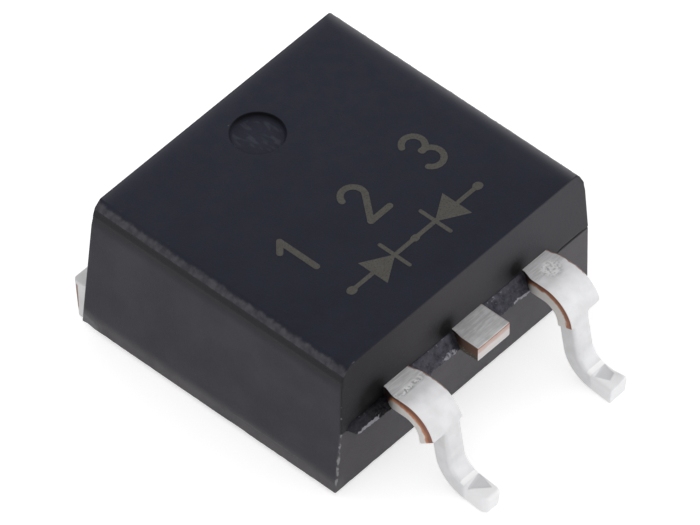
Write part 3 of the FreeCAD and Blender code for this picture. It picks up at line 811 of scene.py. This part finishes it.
class Shader(Nodes):
    """Material with one principled shader, whose patterns are laid out in millimetres."""

    def __init__(self, name):
        self.material = bpy.data.materials.new(name)
        super().__init__(self.material)
        self.bsdf = self.new("ShaderNodeBsdfPrincipled")
        self.put(self.new("ShaderNodeOutputMaterial").inputs[0], self.bsdf.outputs[0])
        place = self.new("ShaderNodeTexCoord").outputs["Object"]
        self.place = self.vector("MULTIPLY", place, (1 / MM, 1 / MM, 1 / MM))

    def axes(self):
        """X, Y and Z of the place in millimetres."""
        return self.fill(self.new("ShaderNodeSeparateXYZ"), Vector=self.place)

    def __getitem__(self, key):
        """Value that the mesh holds at its points."""
        return self.node("ShaderNodeAttribute", "Fac", attribute_name=key)

    def noise(self, scale, detail=3.0, stretch=None, offset=0.0):
        """Random value from 0 to 1 with bumps of about one over scale millimetres."""
        place = self.place
        if stretch:
            place = self.vector("MULTIPLY", place, stretch)
        if offset:
            place = self.vector("ADD", place, (offset, offset * 0.7, offset * 1.3))
        node = self.new("ShaderNodeTexNoise")
        return self.fill(node, Vector=place, Scale=scale, Detail=detail)["Fac"]

    def mix(self, share, a, b):
        node = self.new("ShaderNodeMix")
        node.data_type = "RGBA"
        for socket, what in ((0, share), (6, a), (7, b)):
            self.put(node.inputs[socket], what)
        return node.outputs[2]

    def layers(self, colour, *layers):
        """Colour with others laid over it one by one, each with its share."""
        for share, over in layers:
            colour = self.mix(share, colour, over)
        return colour

    def ramp(self, value, stops):
        node = self.new("ShaderNodeValToRGB")
        self.put(node.inputs[0], value)
        elements = node.color_ramp.elements
        while len(elements) < len(stops):
            elements.new(0.5)
        for element, (at, colour) in zip(elements, stops):
            element.position = at
            element.color = (*colour, 1.0)
        return node.outputs[0]

    def bump(self, height, distance, strength=1.0, under=None):
        node = self.new("ShaderNodeBump")
        if under is not None:
            self.put(node.inputs["Normal"], under)
        return self.fill(node, Height=height, Distance=distance * MM, Strength=strength)[0]

    def finish(self, **sockets):
        self.fill(self.bsdf, **sockets)
        return self.material


def epoxy_material():
    """Black moulding compound: bluish matt top with painted sheen, greyer sides, a front with painted light,
    rough bevel, and painted shade on the smooth band, in the ejector mark and beside the leads.
    """
    s = Shader("moulding_compound")
    x, y, z = s.axes()
    cloud = s.noise(0.8, 3.0)
    patches = s.noise(2.2, 4.0, offset=13.0)
    grain = s.noise(22.0, 3.0)
    fine = s.noise(55.0, 2.0)

    side = s.mix(s.range(cloud, 0.3, 0.7), (0.041, 0.04, 0.048), (0.05, 0.048, 0.058))
    # Painted sheen: the top grows lighter towards the back and the right
    painted_sheen_to_back = s.times(s.range(s.plus(y, s.times(x, 0.6)), FRONT - 2.0, BACK + 1.5), 0.8)
    tone = s.plus(s.plus(painted_sheen_to_back, s.times(s.range(cloud, 0.35, 0.65), 0.2)), s.times(patches, 0.2))
    bluish = s.range(s.noise(2.6, 4.0, offset=41.0), 0.38, 0.62)
    top = s.mix(tone, (0.015, 0.016, 0.024), (0.0235, 0.025, 0.037))
    top = s.mix(s.times(bluish, 0.4), top, (0.0165, 0.0195, 0.0345))
    # Painted light: the front is lighter than the sides and shaded darker towards the left; its upper and
    # lower halves also differ in finish
    lit_upper_front = s.ramp(s.range(x, -4.5, 3.0), [
        (0.0, (0.026, 0.0245, 0.0285)), (0.5, (0.0545, 0.0515, 0.0565)), (1.0, (0.055, 0.0535, 0.061))])
    lit_lower_front = s.mix(s.range(x, -4.5, -1.2), (0.08, 0.075, 0.082), (0.111, 0.106, 0.115))
    lit_lower_front = s.mix(s.range(patches, 0.4, 0.7, 0.0, 0.2), lit_lower_front, (0.06, 0.058, 0.062))
    front = s.mix(s.range(z, LEAD_BASE + 0.02, LEAD_BASE - 0.02), lit_upper_front, lit_lower_front)
    # Lighter and mottled towards the underside at the left end and at the back left corner
    low = s["low"]
    mottled = s.times(s.range(low, 0.0, 0.9), s.range(patches, 0.3, 0.62, 0.7, 1.0))
    paler_low = s.mix(s.range(low, 0.9, 1.5), (0.112, 0.107, 0.112), (0.2, 0.198, 0.205))
    scrape = s.range(s.gap(z, s.plus(s.times(patches, 0.1), 0.48)), 0.03, 0.005)
    scrape = s.times(scrape, s.range(grain, 0.42, 0.58), s.range(x, -4.4, -4.6))
    scrape = s.times(scrape, s.range(y, 0.9, 0.4), s.range(y, -2.1, -1.7))
    band = s["band"]
    coarse = s.noise(5.5, 3.0, offset=21.0)
    torn = s.range(s.uneven(s["rim"], coarse), 0.2, 0.95)
    torn_colour = s.mix(s.range(coarse, 0.3, 0.7), (0.045, 0.044, 0.054), (0.072, 0.07, 0.08))
    # Painted shadows beside the leads and in the parting gap, near black
    stain = s.math("MINIMUM", s.times(s["stain"], s.plus(patches, 0.7)), 0.97)
    streak = s.range(s.noise(2.4, 1.0, (2.4, 1.0, 1.0), offset=4.0), 0.5, 0.68)
    floor = s["floor"]
    worn = s.range(s.uneven(s["worn"], s.noise(5.0, 4.0, offset=17.0), 3.0), 0.75, 1.25)
    speck = s.range(s.noise(60.0, 1.0, offset=7.0), 0.72, 0.8)
    colour = s.layers(
        s.mix(s["front"], side, front),
        (mottled, paler_low),
        (s.times(scrape, 0.5), (0.16, 0.16, 0.17)),
        (s["top"], top),
        (s["edge"], (0.2, 0.198, 0.21)),
        # painted shade on the smooth band below the rim
        (band, (0.02, 0.0185, 0.0215)),
        (torn, torn_colour),
        (stain, (0.003, 0.0028, 0.003)),
        # painted shade in the ejector mark
        (s["pit"], (0.003, 0.003, 0.004)),
        (s.times(floor, 0.3), (0.032, 0.033, 0.046)),
        (s.times(floor, streak, 0.5), (0.056, 0.06, 0.078)),
        (worn, (0.26, 0.26, 0.27)),
        (s.times(speck, 0.3), (0.1, 0.1, 0.1)),
    )

    roughness = s.plus(s.range(grain, 0.3, 0.7, 0.52, 0.62), s.times(band, -0.06))
    normal = s.bump(fine, 0.012, 0.35)
    normal = s.bump(grain, 0.03, 0.3, normal)
    return s.finish(Base_Color=colour, Roughness=roughness, Normal=normal, Specular_IOR_Level=0.1)


def flash_material():
    """Broken moulding compound: bluish black with bright filler and a painted highlight along its crest and
    its lower lip, and painted shadow beside the leads.
    """
    s = Shader("broken_moulding")
    cloud = s.noise(5.0, 4.0)
    grain = s.noise(12.0, 3.0, offset=3.0)
    # Bright filler and painted highlight along the crest and the lip
    glint = s.range(s.uneven(s["glint"], grain, 1.6), 0.5, 0.85)
    speck = s.range(s.noise(26.0, 1.0, offset=11.0), 0.7, 0.78)
    # Painted shadow, weaker where the bright filler shows
    darkening = s.times(s["dark"], s.range(glint, 0.0, 1.0, 1.0, 0.25))
    colour = s.layers(
        s.mix(s.range(cloud, 0.3, 0.7), (0.036, 0.035, 0.048), (0.08, 0.078, 0.098)),
        (s.times(s.range(grain, 0.5, 0.7), 0.35), (0.12, 0.117, 0.14)),
        (glint, (0.34, 0.34, 0.38)),
        (s.times(speck, 0.5), (0.28, 0.28, 0.31)),
        (darkening, (0.005, 0.0045, 0.006)),
    )
    return s.finish(
        Base_Color=colour,
        Roughness=s.range(cloud, 0.3, 0.7, 0.42, 0.6),
        Normal=s.bump(grain, 0.05, 0.5),
        Specular_IOR_Level=0.12,
    )


def tin_material():
    """Matt tin over copper: brushed flats, bare copper on the sheared edges, painted shade next to the body,
    on the flats and along the stub's fold, and a painted highlight and painted reflection on each foot.
    """
    s = Shader("tinned_copper")
    x, y, z = s.axes()
    side, depth, end, bare = (s[key] for key in ("side", "depth", "end", "bare"))
    crease = s["crease"]
    out = s.minus(FRONT, y)
    cloud = s.noise(2.2, 4.0)
    streak = s.noise(9.0, 4.0, (0.35, 3.0, 3.0), offset=5.0)
    fine = s.noise(70.0, 2.0)
    ragged = s.noise(6.0, 3.0, offset=9.0)

    # The flats are darker: brushed and worn metal, and painted shade where they face the dimmer light above
    worked = s.uneven(out, streak, 0.25)
    flat = s.math("MAXIMUM", s.range(worked, 0.6, 0.46), s.times(bare, 0.9))
    flat = s.times(flat, s.range(z, LEAD_BASE, LEAD_BASE + 0.1))
    worn_and_shaded_flat = s.mix(s.range(streak, 0.3, 0.7), (0.58, 0.58, 0.59), (0.74, 0.74, 0.75))
    brushed = s.range(s.uneven(streak, cloud, 1.2), 0.25, 0.75)
    dull_and_shaded_flat = s.mix(brushed, (0.46, 0.46, 0.465), (0.62, 0.62, 0.63))
    # Painted shade along a fold across the stub's top
    fold_shade = s.times(bare, s.range(s.gap(out, 0.35), 0.05, 0.01), 0.5)
    crumbs = s.noise(13.0, 3.0, offset=31.0)
    marked = s.times(s["pressed"], s.range(crease, -0.3, -0.6))
    dark_crumbs = s.range(s.plus(crumbs, s.range(x, -1.0, 1.0, -0.04, 0.02)), 0.5, 0.42)
    above = s.range(depth, 0.12, 0.04)
    # Painted reflection: the pressed facet on the top of each foot is greyed
    facet = s.times(above, s.range(crease, 0.0, 0.04), s.range(s["facet"], 0.03, -0.03))
    tin = s.layers(
        s.mix(s.range(cloud, 0.3, 0.7), (0.74, 0.74, 0.75), (0.84, 0.84, 0.86)),
        (flat, s.mix(bare, worn_and_shaded_flat, dull_and_shaded_flat)),
        (fold_shade, (0.42, 0.42, 0.44)),
        (s.times(marked, dark_crumbs, s.range(x, -1.0, 1.0, 0.65, 0.4)), (0.22, 0.22, 0.21)),
        (s.times(marked, s.range(crumbs, 0.48, 0.56), 0.9), (0.96, 0.96, 0.97)),
        # the foot is lighter beyond the crease
        (s.times(s.range(crease, 0.0, 0.15), 0.7), (0.97, 0.97, 0.98)),
        (s.times(facet, 0.6), (0.5, 0.5, 0.53)),
        # painted highlight along the crease of each foot
        (s.times(above, s.range(s.gap(crease, 0.0), 0.085, 0.05)), (0.99, 0.99, 0.99)),
        # painted shade right next to the body
        (s.times(s.range(out, 0.1, 0.0), 0.2), (0.25, 0.22, 0.2)),
    )

    # Painted shade: the copper sides darken towards the body
    copper = s.ramp(s.range(out, -0.05, 1.25), [
        (0.0, (0.01, 0.006, 0.005)), (0.32, (0.035, 0.013, 0.009)), (0.5, (0.12, 0.04, 0.024)),
        (1.0, (0.24, 0.09, 0.05))])
    on_right = s.range(x, 0.5, 1.5)
    wide_end = s.minus(0.5, s.times(on_right, 0.2))
    line = s.math("MAXIMUM", s.range(out, 0.0, 0.42, 1.0, 0.33), s.range(out, 0.3, 1.25, 0.33, wide_end))
    over_line = s.minus(s.uneven(depth, ragged, 0.25), line)
    glow = s.times(s.range(over_line, -0.3, 0.0), s.range(on_right, 0.0, 1.0, 1.0, 0.55))
    copper = s.mix(s.times(glow, s.range(out, 0.15, 0.45)), copper, (0.56, 0.24, 0.115))
    upper = s.range(over_line, 0.09, -0.05)
    smear = s.mix(s.noise(7.0, 3.0, offset=2.0), (0.72, 0.68, 0.65), (0.82, 0.8, 0.78))
    # painted shade darkens the smeared tin near the body
    smear = s.mix(s.range(out, 0.15, 0.75), (0.2, 0.19, 0.18), smear)
    lead_side = s.mix(upper, smear, copper)
    # Painted shade: the stub's copper sides darken towards the body
    shaded_stub_copper = s.ramp(s.range(out, 0.0, 0.95), [(0.0, (0.022, 0.012, 0.009)), (1.0, (0.16, 0.085, 0.057))])
    low_dull = s.mix(s.range(s.noise(26.0, 2.0), 0.58, 0.68), (0.085, 0.075, 0.058), (0.45, 0.42, 0.36))
    stub_side = s.mix(s.range(s.uneven(depth, ragged, 0.4), 0.55, 0.8), shaded_stub_copper, low_dull)
    stub_end = s.ramp(s.uneven(depth, ragged, 0.12), [
        (0.06, (0.26, 0.11, 0.07)), (0.15, (0.56, 0.38, 0.33)), (0.38, (0.58, 0.45, 0.41)),
        (0.5, (0.68, 0.64, 0.63))])

    edge_gap = s.uneven(s["right_gap"], ragged, 0.08)
    near_edge = s.times(s.range(edge_gap, 0.055, 0.03), s.range(out, 1.3, 1.15), s.range(depth, 0.12, 0.06))
    inward = s.minus(PLATE_HIGH.y, y)
    tab_edge = s.times(s.range(inward, 0.2, 0.175), s.range(inward, 0.115, 0.135))
    tab_edge = s.times(tab_edge, s.range(z, 0.25, 0.42), s.range(z, 1.34, 1.22))
    colour = s.layers(
        tin,
        (side, s.mix(bare, lead_side, stub_side)),
        (end, stub_end),
        (s.times(near_edge, s.range(bare, 0.0, 1.0, 0.85, 0.3)), (0.24, 0.1, 0.06)),
        (tab_edge, s.mix(cloud, (0.2, 0.12, 0.09), (0.32, 0.19, 0.14))),
    )

    roughness = s.range(cloud, 0.3, 0.7, 0.46, 0.56)
    normal = s.bump(fine, 0.006, 0.3)
    normal = s.bump(streak, 0.01, s.times(flat, 0.5), normal)
    return s.finish(Base_Color=colour, Roughness=roughness, Metallic=0.25, Normal=normal)


def hidden_metal(name, dark, light, roughness, grain_scale):
    """Procedural finish of a piece that the moulding encloses."""
    s = Shader(name)
    cloud = s.noise(grain_scale, 4.0)
    fine = s.noise(grain_scale * 9, 2.0, offset=4.0)
    return s.finish(
        Base_Color=s.mix(cloud, dark, light),
        Roughness=s.range(fine, 0.3, 0.7, roughness - 0.06, roughness + 0.06),
        Metallic=1.0,
        Normal=s.bump(fine, 0.01, 0.3),
    )


def marking_material():
    """Laser mark: the compound turned tan grey, uneven and dull."""
    s = Shader("laser_mark")
    cloud = s.noise(4.0, 3.0)
    grain = s.noise(24.0, 3.0)
    colour = s.mix(cloud, (0.059, 0.057, 0.049), (0.093, 0.087, 0.075))
    colour = s.mix(s.range(grain, 0.45, 0.75), colour, (0.04, 0.04, 0.04))
    return s.finish(Base_Color=colour, Roughness=0.7, Normal=s.bump(grain, 0.02, 0.4), Specular_IOR_Level=0.3)


# Laser marks: the circuit symbol of the two diodes and the numbers of the three terminals

MARK_HEIGHT = 0.004


def arc_points(x, y, radius, start, end, count=14, squash=1.0):
    """Points of an arc from one angle to another, in degrees."""
    turns = [radians(start + (end - start) * k / count) for k in range(count + 1)]
    return [Vector((x + radius * cos(turn), y + radius * squash * sin(turn))) for turn in turns]


def stroke(points, width):
    """Outline of a line with round ends through points."""
    half = width / 2
    points = [Vector(p) for p in points]
    left, right = [], []
    for before, p, after in zip(points[:1] + points, points, points[1:] + points[-1:]):
        ahead = (after - before).normalized()
        across = Vector((-ahead.y, ahead.x)) * half
        left.append(p + across)
        right.append(p - across)

    def cap(centre, toward):
        base = degrees(atan2(toward.y, toward.x))
        return arc_points(*centre, half, base + 67.5, base - 67.5, 6)

    end, start = cap(points[-1], points[-1] - points[-2]), cap(points[0], points[0] - points[1])
    return left + end + right[::-1] + start


def disc(x, y, radius, squash):
    return arc_points(x, y, radius, 0, 360, 24, squash)[:-1]


def mark_outlines():
    """Outlines of all marks: line, dots, arrows and bars of the symbol, then the three numbers."""
    line_y, bar = FRONT + 1.8, 0.12
    shapes = [stroke([(-2.4, line_y), (2.4, line_y)], 0.125), disc(0.0, line_y, 0.15, 0.75)]
    for way in (-1, 1):
        arrow = [(1.66, 0.52), (1.66, -0.52), (0.78, 0.0)]
        shapes.append(disc(way * 2.47, line_y, 0.16, 0.85))
        shapes.append([Vector((way * x, line_y + up)) for x, up in arrow])
        shapes.append(stroke([(way * 0.8, line_y - 0.52), (way * 0.8, line_y + 0.52)], bar))

    base, tall, weight = FRONT + 3.05, 1.3, 0.19
    top = base + tall
    one, two, three = -2.47, 0.0, 2.42
    lines = [
        [(one, top), (one, base)],
        [(one - 0.3, top - 0.28), (one, top)],
        arc_points(two, top - 0.36, 0.34, 165, -30),
        [(two + 0.295, top - 0.53), (two - 0.34, base)],
        [(two - 0.34, base), (two + 0.4, base)],
        arc_points(three, top - 0.32, 0.32, 150, -90),
        arc_points(three, base + 0.345, 0.345, 90, -150),
    ]
    return shapes + [stroke(line, weight) for line in lines]


def make_marks():
    """Thin slabs of the marks, whose rough edges and small differences in height keep them apart."""
    bm = bmesh.new()
    for n, shape in enumerate(mark_outlines()):
        for p in shape:
            p += Vector((rough((p.x, p.y, n), 0.1, 2), rough((p.y, p.x, n), 0.1, 6))) * 0.006
        add_slab(bm, shape, TOP - 0.01, TOP + MARK_HEIGHT * (1 + 0.05 * n))
    return make_object("laser_marks", *take_mesh(bm), smooth=False)


# The pieces and what they stand for

epoxy, flash_look, tin, mark_look = epoxy_material(), flash_material(), tin_material(), marking_material()


def paint(piece, look):
    piece.data.materials.clear()
    piece.data.materials.append(look)


def dress(piece, look, slot, *replaced):
    """Gives a piece its material and hides the solids that it stands for."""
    paint(piece, look)
    if replaced:
        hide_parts(*replaced)


dress(make_body(), epoxy, "epoxy", "mould_body")


def between_shadow(x):
    """Painted shadow on the flash between the leads, in the corners left of the stub and of the right lead.
    """
    return 0.8 * ease(0.22, 0.0, abs(x + 0.62)) + 0.6 * ease(0.25, 0.0, abs(x - 2.15))


for flash in (
    make_flash("flash_right", 0.5, 2.25, WEDGE, 2.0,
               lambda x: 0.35 + 0.6 * ease(1.5, 1.6, x), 0.88, between_shadow),
    make_flash("flash_left", -2.25, -0.5, WEDGE, 5.0,
               lambda x: 0.3 + 0.55 * ease(-1.4, -1.05, x) * ease(-0.62, -0.78, x), 0.55, between_shadow),
    make_flash("flash_outer", -3.05, -4.7, ROLL, 8.0,
               lambda x: 1.15 * ease(-4.55, -4.42, x) * ease(-3.6, -3.75, x), 0.86,
               # darker all along, with painted shadow next to the left lead's root
               lambda x: 0.7 + 0.28 * ease(-4.2, -3.6, x), (0.0, 0.25)),
):
    dress(flash, flash_look, "epoxy", "mould_body")

lead_right = make_lead(
    "lead_right", 1.0, on_left=False, reach=3.17, tip_plan=0.04, tip_profile=0.04, crease_place=2.36,
    facet=[(0.1, 0.18), (0.92, 0.05), (0.8, 0.5), (0.41, 0.58)],
    dent=right_dent, raised=0.12, late=(0.16, 0.26))
lead_left = make_lead(
    "lead_left", 7.0, on_left=True, reach=FOOT_REACH, tip_plan=0.2, tip_profile=0.13, crease_place=2.4,
    facet=[(-0.03, 0.23), (0.99, 0.07), (0.77, 0.72)],
    dent=left_dent, raised=0.0, late=(0.06, 0.36))
dress(lead_right, tin, "tinned_copper", "anode_lead_right")
dress(lead_left, tin, "tinned_copper", "anode_lead_left")
dress(make_spreader(), tin, "tinned_copper", "heat_spreader")
dress(make_marks(), mark_look, "epoxy")

silicon = hidden_metal("silicon", (0.28, 0.29, 0.32), (0.36, 0.37, 0.41), 0.16, 3.0)
solder = hidden_metal("solder", (0.46, 0.47, 0.49), (0.58, 0.59, 0.61), 0.42, 6.0)
wire = hidden_metal("bond_wire", (0.76, 0.76, 0.77), (0.86, 0.86, 0.87), 0.24, 9.0)
for name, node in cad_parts.items():
    for prefix, look in (("die_solder", solder), ("die", silicon), ("bond_wire", wire)):
        if name.startswith(prefix):
            paint(node, look)
            break

# Floor, light and camera

WHITE = (1.0, 1.0, 1.0)


def make_floor():
    """Pale floor that keeps the shadow and shows near white to the camera and in reflections."""
    side = 4.0
    mesh = bpy.data.meshes.new("floor")
    corners = [(-side, -side, 0), (side, -side, 0), (side, side, 0), (-side, side, 0)]
    mesh.from_pydata(corners, [], [range(4)])
    floor = add_object("floor", mesh)
    floor.location.z = -0.00002
    material = bpy.data.materials.new("floor")
    t = Nodes(material)
    rays = t.new("ShaderNodeLightPath").outputs
    seen = t.math("MAXIMUM", rays["Is Camera Ray"], rays["Is Glossy Ray"])
    seen = t.math("MAXIMUM", seen, rays["Is Transmission Ray"])
    diffuse = t.node("ShaderNodeBsdfDiffuse", 0, (0.75, 0.75, 0.75))
    glow = t.node("ShaderNodeEmission", 0, WHITE, t.times(seen, 0.55))
    t.put(t.new("ShaderNodeOutputMaterial").inputs[0], t.node("ShaderNodeAddShader", 0, diffuse, glow))
    mesh.materials.append(material)


def make_world():
    """Even studio light, dimmer above and behind the part, seen white by the camera."""
    scene.world = bpy.data.worlds.new("studio")
    t = Nodes(scene.world)
    place = t.new("ShaderNodeTexCoord").outputs["Generated"]
    above = Vector((0.47, 0.42, 0.78)).normalized()
    toward = t.node("ShaderNodeVectorMath", "Value", place, above, operation="DOT_PRODUCT")
    light = t.node("ShaderNodeBackground", 0, WHITE, t.range(toward, 0.55, 0.98, 0.92, 0.75))
    white = t.node("ShaderNodeBackground", 0, WHITE, 1.0)
    seen = t.new("ShaderNodeLightPath").outputs["Is Camera Ray"]
    t.put(t.new("ShaderNodeOutputWorld").inputs[0], t.node("ShaderNodeMixShader", 0, seen, light, white))


def point_at(obj, place, aim, roll=0.0):
    """Puts a lamp or camera at a place in millimetres, looking at another, turned by some degrees."""
    place, aim = Vector(place), Vector(aim)
    obj.location = place * MM
    obj.rotation_mode = "QUATERNION"
    obj.rotation_quaternion = (aim - place).to_track_quat("-Z", "Y") @ Quaternion((0, 0, 1), radians(roll))


def make_lamp():
    """Large soft lamp on the right, which lights the front more than the left side."""
    data = bpy.data.lights.new("key", "AREA")
    data.shape = "DISK"
    data.size = 80 * MM
    data.energy = 0.06
    point_at(add_object("key", data), (172, -123, 52), (0, 0, 2))


def make_camera():
    """The photo's camera, fitted to the part's straight edges."""
    data = bpy.data.cameras.new("camera")
    data.sensor_width = 36.0
    data.lens = 586.8
    data.clip_start = 0.01
    data.clip_end = 20.0
    scene.camera = add_object("camera", data)
    point_at(scene.camera, (-149.374, FRONT - 130.666, 226.95), (-0.1533, FRONT + 3.9607, 2.3), -0.105)


make_floor()
make_world()
make_lamp()
make_camera()
